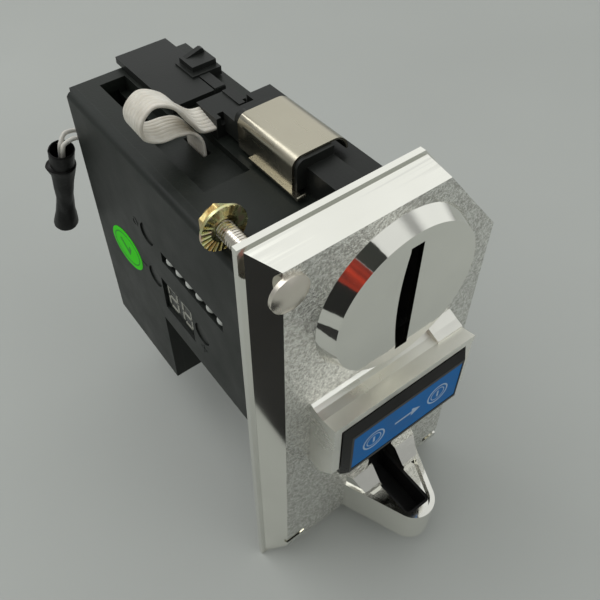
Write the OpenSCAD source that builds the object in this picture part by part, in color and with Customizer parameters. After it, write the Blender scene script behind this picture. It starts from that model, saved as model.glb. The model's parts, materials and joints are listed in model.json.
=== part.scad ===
// Coin and token acceptor with a chromed front panel.
// X runs to the right seen from the front, Y runs from the front into the cabinet, Z runs up.
// The origin is the centre of the panel's back face, where the panel lies on the cabinet.

/* [Front panel] */
// width over the rim
panel_w = 64.5; // [64:0.5:65]
// height over the rim
panel_h = 126; // [126:0.5:128]
// depth of the tray, rim included
panel_d = 6; // [6:0.1:6.2]
// thickness of the front wall
panel_wall = 1.8; // [1.6:0.1:1.8]
// thickness of the rim
rim_t = 1.4; // [1.2:0.1:1.4]
// slope of the left and top walls, front edge in from the rim
draft = 5.7; // [5.6:0.1:5.8]

/* [Coin entry] */
// radius of the round entry plate at the panel
boss_r = 20.6; // [20.4:0.1:20.6]
// radius of its front face
boss_face_r = 18.7; // [18.4:0.1:18.8]
// how far it stands out
boss_h = 3.8; // [3.6:0.1:3.9]
// width of the slot
slot_w = 3.4; // [3:0.1:3.5]
// height of the slot
slot_h = 31; // [29:0.5:31]

/* [Reject button] */
// width of the push frame
button_w = 37; // [36.6:0.1:37]
// height of the push frame
button_h = 18.6; // [18:0.1:18.6]
// radius of a guide stem
stem_r = 2.5; // [2.4:0.05:2.5]
// play around a guide stem
stem_play = 0.05; // [0.05:0.01:0.08]

/* [Return cup] */
// width of the cup at the panel
cup_w = 25.2; // [24.8:0.1:25.2]
// reach of the cup in front of the panel
cup_reach = 19.4; // [19:0.1:19.6]
// width of the channel that the coin lands in
chute_w = 8.4; // [8.2:0.1:8.4]

/* [Body] */
// rear face of the body, from the panel front
body_rear = 91; // [90:0.5:91.5]
// thickness of the side cover
cover_t = 3; // [2.8:0.1:3]
// depth of the body below the panel top
body_top = -15.8; // [-15.9:0.1:-15.8]
// width of the ribbon
ribbon_w = 7.6; // [7.4:0.1:7.6]
// thickness of the ribbon
ribbon_t = 0.9; // [0.8:0.05:0.95]
// sheet thickness of the spring clip
clip_t = 0.5; // [0.4:0.05:0.5]

/* [Mounting bolt] */
// radius of the shank
bolt_r = 1.9; // [1.85:0.05:1.95]
// radius of the head
bolt_head_r = 4.2; // [4:0.1:4.3]
// front of the nut, behind the panel front
nut_y = 19.2; // [18.8:0.1:19.4]

/* [Hidden] */
$fn = 96;

// All places below are measured from the panel front's top left corner: x to the right,
// y back, z up (so z is negative on the part). corner() shifts them to the origin.
rim_y = panel_d - rim_t;
face_l = draft;
face_r = panel_w - 1.9;
face_t = -(draft - 0.7);
face_b = -(panel_h - 7.5);
cut_x = 45;
cut_z = -27;
rim_cut = [41.9, -28.5];
rim_cut_front = [42.5, -27.5];
hollow_cut_front = [43.6, -27.7];
hollow_cut = [41.6, -27.2];
boss_x = 33.8;
boss_z = -28.4;
slot_x = 34;
slot_top = -13;
slot_mid = slot_top - slot_h / 2;
button_x = 33.5;
button_z = -55 - button_h / 2;
button_back = -4.4;
button_front = -9.6;
stem_xs = [20, 47];
stem_z = -64.3;
cup_x = 38.2;
cup_tip_r = 6.2;
cup_rim_z = -106;
cup_base_z = face_b;
cup_a = [cup_x - cup_w / 2, 0];
cup_c = [cup_x, cup_tip_r - cup_reach];
body_l = 4.8;
body_in = body_l + cover_t;
coin_l = 32;
coin_r = 36.2;
body_r = 41;
belly_z = -70;
foot_y = 54;
foot_z = -99;
bolt_x = 6.7;
bolt_z = -10.4;
bolt_core_r = bolt_r - 0.25;
neck = bolt_r + 0.05;
pin_x = 32;
pin_z = -12.4;
pin_r = 1;
solenoid_y = 60;
solenoid_z = -50;
coil_y = 28;
coil_z = -42;
buttons_yz = [[54.8, -38.6], [54.8, -54], [32.2, -55]];
board_x = 10.4;
ribbon_y = 52.6;
board_t = 1.6;
lamp_x = 6.4;
eps = 0.01;

module corner() {
    translate([-panel_w / 2, -panel_d, panel_h / 2]) children();
}

// box between two opposite corners
module block(a, b) {
    translate(a) cube(b - a);
}

// rod along y from y0 to y1
module rod_y(x, z, y0, y1, r) {
    translate([x, y1, z]) rotate([90, 0, 0]) cylinder(h = y1 - y0, r = r);
}

// rod along x from x0 to x1
module rod_x(y, z, x0, x1, r) {
    translate([x0, y, z]) rotate([0, 90, 0]) cylinder(h = x1 - x0, r = r);
}

// plate with an outline in x and z, between y0 and y1
module plate_y(y0, y1) {
    translate([0, y1, 0]) rotate([90, 0, 0]) linear_extrude(y1 - y0) children();
}

// plate with an outline in y and z, between x0 and x1
module plate_x(x0, x1) {
    translate([x0, 0, 0]) rotate([90, 0, 90]) linear_extrude(x1 - x0) children();
}

// outline with the cut corner at the top right
module cut_outline(l, t, r, b, cx, cz) {
    polygon([[l, t], [cx, t], [r, cz], [r, b], [l, b]]);
}

// ring seen from the front, an arc from angle a0 to a1, at most 90 degrees
module arc(x, z, r, t, a0, a1) {
    translate([x, z]) intersection() {
        difference() {
            circle(r);
            circle(r - t);
        }
        polygon([[0, 0], 2 * r * [cos(a0), sin(a0)],
                 2 * r * [cos((a0 + a1) / 2), sin((a0 + a1) / 2)],
                 2 * r * [cos(a1), sin(a1)]]);
    }
}

module front_panel() {
    color([0.86, 0.85, 0.82]) corner() difference() {
        union() {
            hull() {
                plate_y(0, 0.02) cut_outline(face_l, face_t, face_r, face_b, cut_x, cut_z);
                plate_y(rim_y - 0.02, rim_y)
                    cut_outline(1.3, -1.2, panel_w - 1.2, -panel_h + 1.2,
                                rim_cut_front[0], rim_cut_front[1]);
            }
            plate_y(rim_y, panel_d)
                cut_outline(0, 0, panel_w, -panel_h, rim_cut[0], rim_cut[1]);
        }
        hull() {
            plate_y(panel_wall, panel_wall + 0.02)
                cut_outline(face_l + 0.36, face_t - 0.46, face_r - 1.25, face_b + 0.1,
                            hollow_cut_front[0], hollow_cut_front[1]);
            plate_y(panel_d, panel_d + 0.02)
                cut_outline(2.03, -1.98, panel_w - 2.5, -panel_h + 1.8,
                            hollow_cut[0], hollow_cut[1]);
        }
        block([slot_x - 2.9, -1, -46.6], [slot_x + 2.9, 3, -11.9]);
        for (x = stem_xs) rod_y(x, stem_z, -1, 3, stem_r + stem_play);
        block([cup_x - chute_w / 2, -1, -116.6], [cup_x + chute_w / 2, 3, -98]);
        block([bolt_x - neck - 0.05, -1, bolt_z - neck - 0.05],
              [bolt_x + neck + 0.05, 1.9, bolt_z + neck + 0.05]);
        rod_y(bolt_x, bolt_z, 1, panel_d + 1, bolt_r + 0.25);
        block([face_l - 0.6, -1, -116.6], [face_l + 5.6, 3, -114.8]);
        block([face_r - 5.6, -1, -116.6], [face_r + 0.6, 3, -114.8]);
        for (z = [-20, -38]) rod_y(24, z, -1, 3, 1.6);
    }
}

module coin_entry_boss() {
    color([0.84, 0.84, 0.82]) corner() difference() {
        translate([boss_x, 0, boss_z]) rotate([90, 0, 0])
            cylinder(h = boss_h, r1 = boss_r, r2 = boss_face_r);
        difference() {
            rod_y(boss_x, boss_z, -2.2, 1, 17);
            block([slot_x - 4.2, -3, -46], [slot_x + 4.2, 2, -11]);
        }
        // slot, with a bowed lead-in on its left
        block([slot_x - slot_w / 2, -9, slot_top - slot_h], [slot_x + slot_w / 2, 1, slot_top]);
        plate_y(-9, -boss_h + 1.5) intersection() {
            translate([slot_x - slot_w / 2 - 1.3 + 80, slot_mid]) circle(80);
            translate([slot_x - 4, slot_top - slot_h]) square([4, slot_h]);
        }
    }
}

module button_hood() {
    color([0.86, 0.85, 0.82]) corner() difference() {
        union() {
            plate_x(12.6, 54.4)
                polygon([[0, -51.9], [-0.8, -52.4], [-2, -52.8], [-4.2, -53], [-8.2, -52.1],
                         [-8.2, -54.2], [0, -54.2]]);
            // rise at the right end
            plate_x(46.5, 54.4)
                polygon([[0, -50.4], [-2.4, -51.6], [-4.4, -52.4], [-4.4, -53.4], [0, -53.4]]);
            for (x = [12.6, 52.3])
                plate_x(x, x + 2.1)
                    polygon([[0, -53.8], [-8, -53.8], [-8, -71], [-4, -76], [0, -76]]);
        }
        // room for the round entry plate
        translate([boss_x, 0.02, boss_z]) rotate([90, 0, 0])
            cylinder(h = boss_h + 0.1, r1 = boss_r + 0.06, r2 = boss_face_r + 0.02);
    }
}

// point where a line from a touches the circle at c, on its left
function tangent(a, c, r) =
    let (v = a - c, w = atan2(v[1], v[0]) + acos(r / norm(v))) c + r * [cos(w), sin(w)];

module cup_outline(in) {
    a = cup_a + [in, 0];
    t = tangent(a, cup_c, cup_tip_r - in - 0.02);
    polygon([a, t, cup_c, [2 * cup_x - t[0], t[1]], [2 * cup_x - a[0], 0]]);
    translate(cup_c) circle(cup_tip_r - in);
}

// outline of the channel, its front corners rounded
module channel_outline(in, back) {
    left = cup_x - chute_w / 2 + in;
    right = cup_x + chute_w / 2 - in;
    front = cup_c[1] - 3.2 + in;
    r = 1.6 - in;
    polygon([[left, back], [left, front + r], [left + r, front], [right - r, front],
             [right, front + r], [right, back]]);
    translate([left + r, front + r]) circle(r);
    translate([right - r, front + r]) circle(r);
}

module return_cup() {
    color([0.86, 0.85, 0.82]) corner() difference() {
        union() {
            translate([0, 0, cup_base_z]) linear_extrude(cup_rim_z - cup_base_z) cup_outline(0);
            // wings that slope from the panel into the tray
            intersection() {
                translate([0, 0, -108]) linear_extrude(7) cup_outline(0.6);
                plate_x(cup_x - 13, cup_x + 13)
                    polygon([[0, -101.6], [-1.6, -101.6], [-6.4, -107.4], [0, -107.4]]);
            }
        }
        // shallow tray inside the rim, then the channel
        difference() {
            translate([0, 0, -107.6]) linear_extrude(2) cup_outline(1.3);
            block([0, -6, -110], [70, 1, -100]);
        }
        translate([0, 0, -116.6]) linear_extrude(16.6) channel_outline(0, 1);
    }
}

module cup_liner() {
    color([0.05, 0.05, 0.05]) corner() difference() {
        translate([0, 0, -116.6]) linear_extrude(8.8) channel_outline(0, panel_wall);
        translate([0, 0, -115.8]) linear_extrude(9) channel_outline(0.7, panel_wall + 1);
    }
}

module mounting_bolt() {
    color([0.83, 0.8, 0.74]) corner() {
        difference() {
            translate([bolt_x, 5.4 + eps, bolt_z]) sphere(r = 7.6);
            rod_y(bolt_x, bolt_z, 0, 20, 12);
            translate([bolt_x, 0, bolt_z]) difference() {
                cube(30, center = true);
                rotate([90, 0, 0]) cylinder(h = 40, r = bolt_head_r, center = true);
            }
        }
        block([bolt_x - neck, -0.2, bolt_z - neck], [bolt_x + neck, panel_wall, bolt_z + neck]);
        rod_y(bolt_x, bolt_z, 0, nut_y + 4, bolt_core_r);
        rod_y(bolt_x, bolt_z, panel_d + 0.4, nut_y, bolt_r);
    }
}

module flange_nut() {
    color([0.72, 0.62, 0.32]) corner() difference() {
        union() {
            rod_y(bolt_x, bolt_z, nut_y, nut_y + 1, 5.2);
            translate([bolt_x, nut_y + 1.6, bolt_z]) rotate([90, 0, 0])
                cylinder(h = 0.6, r1 = 4, r2 = 5.2);
            translate([bolt_x, nut_y + 4, bolt_z]) rotate([90, 30, 0])
                cylinder(h = 3.2, r = 4.04, $fn = 6);
        }
        rod_y(bolt_x, bolt_z, nut_y - 1, nut_y + 6, bolt_core_r);
    }
}

module reject_button() {
    color([0.06, 0.06, 0.06]) corner() difference() {
        union() {
            block([button_x - button_w / 2, -8.2, button_z - button_h / 2],
                  [button_x + button_w / 2, button_back, button_z + button_h / 2]);
            hull() {
                block([button_x - button_w / 2, -8.2, button_z - button_h / 2],
                      [button_x + button_w / 2, -8.1, button_z + button_h / 2]);
                block([button_x - button_w / 2 + 1.5, button_front, button_z - button_h / 2 + 1.3],
                      [button_x + button_w / 2 - 1.2, -9, button_z + button_h / 2 - 1.9]);
            }
            for (x = stem_xs) rod_y(x, stem_z, button_back - eps, 5, stem_r);
        }
        block([button_x - 16.4, -12, button_z - 7],
              [button_x + 16.9, button_front + 0.7, button_z + 6.4]);
    }
}

module button_label() {
    color([0.06, 0.36, 0.66]) corner()
        block([button_x - 16.3, button_front + 0.1, button_z - 6.9],
              [button_x + 16.8, button_front + 0.7, button_z + 6.3]);
}

module button_springs() {
    color([0.6, 0.6, 0.62]) corner() for (x = stem_xs)
        translate([x, -0.05, stem_z]) rotate([90, 0, 0]) rotate_extrude() union() {
            translate([stem_r + 0.3, 0]) square([0.3, 4.2]);
            for (i = [0:4]) translate([stem_r + 0.6, 0.5 + i * 0.8]) circle(0.3, $fn = 24);
        }
}

module button_cam() {
    color([0.9, 0.9, 0.88]) corner() {
        translate([0, 0, stem_z - 2]) linear_extrude(4)
            polygon([[44.5, 5], [49.5, 5], [46.5, 8.3], [44.5, 8.3]]);
    }
}

module entry_guide() {
    color([0.05, 0.05, 0.05]) corner() difference() {
        block([slot_x - 2.85, 0, -46.5], [slot_x + 2.85, 8, -12]);
        block([slot_x - slot_w / 2, -1, slot_top - slot_h], [slot_x + slot_w / 2, 9, slot_top]);
    }
}

module body_side(front) {
    polygon([[front, body_top], [body_rear, body_top], [body_rear, foot_z], [foot_y, foot_z],
             [foot_y, belly_z], [front, belly_z]]);
}

module main_body() {
    color([0.16, 0.17, 0.16]) corner() difference() {
        union() {
            plate_x(body_in, coin_l) body_side(panel_wall);
            block([coin_l - 1, foot_y, foot_z], [body_r, body_rear, body_top]);
            block([coin_l - 1, panel_wall, belly_z], [body_r, 8, body_top]);
            block([29.5, panel_wall, body_top - 1], [38.5, 8, -10.6]);
        }
        // room for the board, the solenoid and the fixed coil
        block([body_in - 1, 5, -67], [18, 88, -19]);
        block([17, 52, -59], [coin_l - 1.2, 69.5, -41]);
        rod_x(coil_y, coil_z, 25, coin_l + 1, 10.9);
        block([17, 42, -30], [23.2, 60, -21]);
        // coin entry and accept passage
        block([slot_x - 2.9, 0, -46.6], [slot_x + 2.9, 9, -11.9]);
        block([coin_l, foot_y - 1, -66], [37, 84, -19]);
        block([coin_l, foot_y + 1, foot_z - 1], [37, 84, -60]);
        // rear top opening, ribbon recess and ribbon slot
        block([13, 64, -20], [20.2, 87, body_top + 1]);
        block([12, 36, body_top - 2], [23.8, 60.2, body_top + 1]);
        block([19.4, ribbon_y - 4.4, -24], [21.6, ribbon_y + 4.4, body_top + 1]);
        // room for the left button stem, the accept pin and the sensors
        rod_y(20, stem_z, 0, 9, stem_r + 0.6);
        rod_x(solenoid_y, solenoid_z, 30, 39.5, 1.5);
        rod_x(76, -40, 29.4, 39.6, 2.05);
        // connector opening, latch guide and screw holes
        block([9, 86, -39.5], [14, body_rear + 1, -33.5]);
        block([26.8, 66.8, body_top - 3.2], [30.2, 84.2, body_top + 1]);
        for (p = [[58, -22], [87, -22], [87, -94], [58, -94]])
            rod_x(p[0], p[1], body_r - 3.7, body_r + 1, 1.2);
        for (z = [-20, -38]) rod_y(24, z, 0, 9, 1.2);
    }
}

module side_cover() {
    color([0.19, 0.2, 0.19]) corner() difference() {
        intersection() {
            plate_x(body_l, body_in) body_side(3.4);
            union() {
                plate_x(body_l + 1.6, body_in) body_side(3.4);
                translate([0, body_rear - 1.6, 0]) rod_z_strip();
                block([body_l, 3.4, foot_z], [body_in, body_rear - 1.6, body_top - 1.6]);
                rod_y(body_l + 1.6, body_top - 1.6, 3.4, body_rear - 1.6, 1.6);
            }
        }
        block([body_l - 1, 36.6, -62.8], [body_in + 1, 51.1, -51]);
        block([body_l - 1, 21.3, -42.8], [body_in + 1, 48.2, -39.3]);
        for (p = buttons_yz) rod_x(p[0], p[1], body_l - 1, body_in + 1, 3.2);
    }
}

// rounded rear edge of the side cover
module rod_z_strip() {
    translate([body_l + 1.6, 0, foot_z]) cylinder(h = body_top - 1.6 - foot_z, r = 1.6);
}

module display_module() {
    color([0.17, 0.18, 0.17]) corner() {
        block([body_l + 0.9, 36.7, -62.6], [body_in - 0.2, 51, -51.2]);
        block([body_in - 0.3, 37.5, -62.6], [board_x, 50.5, -51.2]);
    }
}

// two figures of seven bars each
module display_segments() {
    color([0.62, 0.62, 0.58]) corner() for (y = [40.5, 47.4]) {
        for (z = [-53.1, -56.9, -60.7])
            block([body_l + 0.75, y - 1.5, z - 0.4], [body_l + 0.9, y + 1.5, z + 0.4]);
        for (s = [-1, 1], z = [-55, -58.8])
            block([body_l + 0.75, y + s * 2.1 - 0.4, z - 1.4],
                  [body_l + 0.9, y + s * 2.1 + 0.4, z + 1.4]);
    }
}

module indicator_lamps() {
    color([0.75, 0.76, 0.74]) corner() for (i = [0:5]) {
        y = 23.2 + i * 4.45;
        rod_x(y, -41, lamp_x, board_x, 1.6);
        difference() {
            translate([lamp_x, y, -41]) sphere(r = 1.6);
            block([lamp_x, y - 2, -43], [12, y + 2, -39]);
        }
    }
}

module setup_button(p) {
    color([0.15, 0.16, 0.15]) corner() {
        rod_x(p[0], p[1], body_l + 0.4, 8.9, 3);
        rod_x(p[0], p[1], body_in + 0.1, body_in + 0.6, 3.8);
    }
}

module setup_button_a() {
    setup_button(buttons_yz[0]);
}

module setup_button_b() {
    setup_button(buttons_yz[1]);
}

module setup_button_c() {
    setup_button(buttons_yz[2]);
}

module button_switches() {
    color([0.1, 0.1, 0.1]) corner() for (p = buttons_yz)
        block([board_x - 0.9, p[0] - 2.9, p[1] - 2.9], [board_x, p[0] + 2.9, p[1] + 2.9]);
}

module control_board() {
    color([0.05, 0.3, 0.15]) corner() difference() {
        block([board_x, 8, -66], [board_x + board_t, 85, -20]);
        for (y = [12, 80], z = [-24, -62]) rod_x(y, z, board_x - 1, board_x + 3, 1.6);
    }
}

module board_chips() {
    color([0.08, 0.08, 0.09]) corner() {
        x = board_x + board_t;
        block([x, 60, -40], [x + 2, 72, -28]);
        block([x, 30, -34], [x + 1.7, 40, -29]);
        block([x, 20, -60], [x + 1.7, 26, -50]);
        rod_x(74, -56, x, x + 5.4, 3.5);
    }
}

module coin_rail() {
    color([0.62, 0.63, 0.64]) corner() plate_x(coin_l, coin_r - 0.6)
        polygon([[8.2, -45.4], [51.6, -55.4], [51.6, -57], [8.2, -47]]);
}

module fixed_coil() {
    color([0.55, 0.3, 0.12]) corner() difference() {
        rod_x(coil_y, coil_z, 25.1, 31, 10.8);
        rod_x(coil_y, coil_z, 27, 32, 4);
    }
}

module gate_coil() {
    color([0.55, 0.3, 0.12]) corner() difference() {
        rod_x(coil_y, coil_z, coin_r + 1.3, 40.4, 9.8);
        rod_x(coil_y, coil_z, coin_r + 1, 39, 4);
    }
}

module sensor_pair() {
    color([0.1, 0.1, 0.12]) corner() {
        rod_x(76, -40, 29.5, coin_l, 2);
        rod_x(76, -40, 37, 39.5, 2);
    }
}

module solenoid_frame() {
    color([0.7, 0.71, 0.72]) corner() difference() {
        block([18.6, 53, -57.5], [30.6, 67, -42.5]);
        block([19.8, 52, -56.3], [29.4, 68, -43.7]);
        rod_x(solenoid_y, solenoid_z, 16, 32, 2.9);
    }
}

module solenoid_coil() {
    color([0.5, 0.27, 0.1]) corner() difference() {
        rod_x(solenoid_y, solenoid_z, 19.8, 29.4, 6);
        rod_x(solenoid_y, solenoid_z, 19, 30, 2.9);
    }
}

// plunger, with the thin pin that stops a coin
module accept_pin() {
    color([0.75, 0.76, 0.78]) corner() {
        rod_x(solenoid_y, solenoid_z, 22.5, 30.2, 2.6);
        rod_x(solenoid_y, solenoid_z, 30, 36.4, 1.2);
    }
}

module swing_gate() {
    color([0.12, 0.13, 0.12]) corner() difference() {
        union() {
            block([coin_r, 8.8, -62], [body_r, 53.4, -16.4]);
            block([coin_r, 15, -17], [43, 53.4, -11.5]);
            block([coin_r, 53, -15.4], [43, 54.8, -11.5]);
            rod_z_end();
            rod_y(pin_x, pin_z, 23.2, 44.4, 2.2);
            block([pin_x, 23.2, -14.2], [coin_r + 1, 44.4, -11.6]);
            block([39, 9.2, -69.4], [body_r, 14, -60]);
            block([39, 9.2, -69.4], [48.8, 14, -67.2]);
            block([46.8, 8.6, -69.4], [48.8, 14, -62.2]);
        }
        rod_x(coil_y, coil_z, coin_r + 1.2, body_r + 1, 9.9);
        rod_y(pin_x, pin_z, 20, 50, pin_r + 0.05);
    }
}

// rounded front end of the gate's arm
module rod_z_end() {
    translate([39.6, 15, -17]) cylinder(h = 5.5, r = 3.4);
}

module hinge_pin() {
    color([0.78, 0.79, 0.8]) corner() rod_y(pin_x, pin_z, 14, 48, pin_r);
}

module pivot_block() {
    color([0.1, 0.11, 0.1]) corner() difference() {
        union() {
            block([26.3, 22.8, -14.2], [29.4, 49, -9.2]);
            block([28.9, 10, body_top], [29.4, 49, -9.2]);
            block([28.9, 10, body_top], [35.8, 22.8, -9.2]);
            block([26.3, 44.9, -14.2], [35.8, 49, -9.2]);
            block([28.9, 44.9, body_top], [31.8, 49, -9.2]);
            block([28.3, 22.8, -9.3], [35.8, 44.9, -6.9]);
            rod_y(28.3, -8.8, 22.8, 44.9, 2);
        }
        rod_y(pin_x, pin_z, 14, 48, pin_r);
        rod_y(pin_x, pin_z, 22.8, 44.9, 2.6);
        block([29.4, 22.8, body_top], [36, 44.9, -11]);
    }
}

// spring clip, bent from sheet
module spring_clip() {
    color([0.66, 0.64, 0.56]) corner() {
        plate_y(23.8, 43) {
            translate([25.8, -14.7]) square([clip_t, 5.9]);
            arc(28.3, -8.8, 2.5, clip_t, 90, 180);
            translate([28.3, -6.3 - clip_t]) square([8.2, clip_t]);
            arc(36.5, -10.3, 4, clip_t, 0, 90);
            translate([25.8, -14.7]) square([2.6, clip_t]);
        }
        // foot that runs out at the front to a rolled end
        block([24.9, 21.2, -14.7], [26.4, 38, -14.7 + clip_t]);
        rod_x(21.2, -14.45, 24.9, 27.2, 0.5);
    }
}

module sample_latch() {
    color([0.13, 0.14, 0.13]) corner() {
        difference() {
            union() {
                block([21.2, 64, -15.5], [36.3, 93.4, -13.7]);
                block([33.2, 64.2, -14], [36.2, 72, -13.5]);
            }
            block([33, 63, -14.4], [33.3, 71.4, -13]);
        }
        block([27, 67, body_top - 2.8], [30, 78, -15]);
        // stepped thumb grip, highest at its rear right
        block([31.5, 71.4, -15.5], [39.9, 80, -13.2]);
        block([32.6, 73.2, -13.4], [39.6, 79.6, -11.8]);
        plate_y(77.8, 79.4) polygon([[32.8, -12], [38.2, -10.5], [38.8, -10.7], [39.2, -12]]);
    }
}

module cable_block() {
    color([0.13, 0.14, 0.13]) corner() difference() {
        union() {
            block([24.4, 49.4, body_top], [34.2, 57.9, -10.4]);
            block([31.4, 50.6, -11], [34, 57.7, -10]);
        }
        block([25.6, 49, -12.6], [27.2, 51.2, -10]);
        block([33, 49, -12.2], [35, 51.8, -9]);
    }
}

// centre line of the ribbon, from the cable block round the loop into its slot
ribbon_line = [[24.25, -11.4], [20.8, -10.6], [17.2, -6.8], [13.6, -1.6], [9, 0.9], [5.6, -1.6],
               [5.9, -5.6], [9.6, -8], [14, -8.9], [17.6, -10.6], [20, -14], [20.5, -19.5]];
function spline(p, i, t) =
    let (a = p[max(i - 1, 0)], b = p[i], c = p[i + 1], d = p[min(i + 2, len(p) - 1)])
    0.5 * (2 * b + t * (c - a) + t * t * (2 * a - 5 * b + 4 * c - d)
           + t * t * t * (3 * b - a - 3 * c + d));
ribbon_pts = [for (i = [0:len(ribbon_line) - 2], j = [0:7]) spline(ribbon_line, i, j / 8)];
function side_of(p, i, s) =
    let (a = p[max(i - 1, 0)], b = p[min(i + 1, len(p) - 1)], v = (b - a) / norm(b - a))
    p[i] + s * [-v[1], v[0]];

module ribbon_cable() {
    n = len(ribbon_pts);
    color([0.9, 0.88, 0.82]) corner() plate_y(ribbon_y - ribbon_w / 2, ribbon_y + ribbon_w / 2)
        polygon(concat([for (i = [0:n - 1]) side_of(ribbon_pts, i, ribbon_t / 2)],
                       [for (i = [n - 1:-1:0]) side_of(ribbon_pts, i, -ribbon_t / 2)]));
}

module lead_socket() {
    color([0.88, 0.87, 0.82]) corner() difference() {
        block([9, 87, -39.5], [14, body_rear + 0.8, -33.5]);
        block([9.8, 90, -38.7], [13.2, body_rear + 2, -34.3]);
    }
}

// the sleeve hangs from its top, leaning back and a little outwards
sleeve_top = [0.9, 94.2, -34.6];
sleeve_lean = [17, 4, 0];
sleeve_l = 35.4;
function lean(v) =
    let (a = sleeve_lean[0], b = sleeve_lean[1], y = -v[2] * sin(a), z = v[2] * cos(a))
    [z * sin(b), y, z * cos(b)];

// centre line of the white leads, out of the socket, over and down
lead_line = [[11.6, 90.7, -36.6], [11.3, 92.4, -36.1], [10, 94.6, -35], [7.8, 95.3, -33.6],
             [5.4, 95, -32.4], [3.2, 94.6, -32.2], [1.6, 94.3, -33.1], sleeve_top,
             each [for (i = [1:5]) sleeve_top + lean([0, 0, -i * 7.2])]];
lead_r = 1.2;
lead_sides = 8;

// direction of the line at point i, and a ring of points square to it
function run(p, i) =
    let (v = p[min(i + 1, len(p) - 1)] - p[max(i - 1, 0)]) v / norm(v);
function ring(p, i, r, n) =
    let (t = run(p, i), u = cross(t, [0.3, 1, 0]), a = u / norm(u), b = cross(t, a))
    [for (k = [0:n - 1]) p[i] + r * (a * cos(360 * k / n) + b * sin(360 * k / n))];

module tube(p, r, n) {
    last = len(p) - 1;
    points = [for (i = [0:last]) each ring(p, i, r, n)];
    walls = [for (i = [0:last - 1], k = [0:n - 1])
             [i * n + k, i * n + (k + 1) % n, (i + 1) * n + (k + 1) % n, (i + 1) * n + k]];
    polyhedron(points, concat([[for (k = [n - 1:-1:0]) k]], walls,
                              [[for (k = [0:n - 1]) last * n + k]]));
}

module lead_wires() {
    color([0.9, 0.89, 0.85]) corner() tube(lead_line, lead_r, lead_sides);
}

module lead_sleeve() {
    color([0.04, 0.04, 0.04]) corner() translate(sleeve_top) rotate(sleeve_lean) difference() {
        union() {
            translate([0, 0, -sleeve_l]) cylinder(h = 9.5, r1 = 3.9, r2 = 2.8);
            translate([0, 0, 9.5 - sleeve_l]) cylinder(h = 7, r1 = 2.8, r2 = 2.8);
            translate([0, 0, 16.5 - sleeve_l]) cylinder(h = sleeve_l - 16.5, r1 = 2.8, r2 = 3.8);
        }
        translate([0, 0, -sleeve_l - 1]) cylinder(h = sleeve_l + 2, r = lead_r + 0.05);
    }
}

module reject_funnel() {
    color([0.08, 0.08, 0.08]) corner() difference() {
        plate_x(29.6, 50.6)
            polygon([[panel_wall, -71], [53.6, -71], [53.6, -77], [10, -117.6],
                     [panel_wall, -117.6]]);
        plate_x(30.6, 49.6)
            polygon([[3, -70], [52.6, -70], [52.6, -76.4], [9.6, -116.6], [3, -116.6]]);
        block([cup_x - chute_w / 2 + 0.7, 0, -116.6], [cup_x + chute_w / 2 - 0.7, 5, -98]);
    }
    color([0.08, 0.08, 0.08]) corner() {
        block([29.6, 2, -71], [31.6, 53.6, belly_z]);
    }
}

module body_screws() {
    color([0.7, 0.7, 0.68]) corner() for (p = [[58, -22], [87, -22], [87, -94], [58, -94]]) {
        rod_x(p[0], p[1], body_r - 3.5, body_r + 0.2, 1.2);
        difference() {
            rod_x(p[0], p[1], body_r, body_r + 1.5, 2.6);
            block([body_r + 0.9, p[0] - 1.6, p[1] - 0.3], [body_r + 2, p[0] + 1.6, p[1] + 0.3]);
            block([body_r + 0.9, p[0] - 0.3, p[1] - 1.6], [body_r + 2, p[0] + 0.3, p[1] + 1.6]);
        }
    }
}

module panel_screws() {
    color([0.7, 0.7, 0.68]) corner() for (z = [-20, -38]) {
        rod_y(24, z, -0.2, 8.6, 1.2);
        difference() {
            rod_y(24, z, -1.7, 0, 2.7);
            block([22.4, -2, z - 0.3], [25.6, -0.9, z + 0.3]);
            block([23.7, -2, z - 1.6], [24.3, -0.9, z + 1.6]);
        }
    }
}

module qc_sticker() {
    color([0.16, 0.72, 0.1]) corner() plate_x(body_l - 0.12, body_l)
        translate([71, -56.5]) rotate(-16)
            polygon([for (a = [0:5:355]) [9 * cos(a), 6.4 * sin(a)]]);
}

front_panel();
coin_entry_boss();
button_hood();
return_cup();
cup_liner();
mounting_bolt();
flange_nut();
reject_button();
button_label();
button_springs();
button_cam();
entry_guide();
main_body();
side_cover();
display_module();
display_segments();
indicator_lamps();
setup_button_a();
setup_button_b();
setup_button_c();
button_switches();
control_board();
board_chips();
coin_rail();
fixed_coil();
gate_coil();
sensor_pair();
solenoid_frame();
solenoid_coil();
accept_pin();
swing_gate();
hinge_pin();
pivot_block();
spring_clip();
sample_latch();
cable_block();
ribbon_cable();
lead_socket();
lead_wires();
lead_sleeve();
reject_funnel();
body_screws();
panel_screws();
qc_sticker();
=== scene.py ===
"""Looks of the coin acceptor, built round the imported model. Metres, in the model's own frame."""

import json
import math

import bmesh
import bpy
from mathutils import Matrix, Vector, noise


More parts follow.
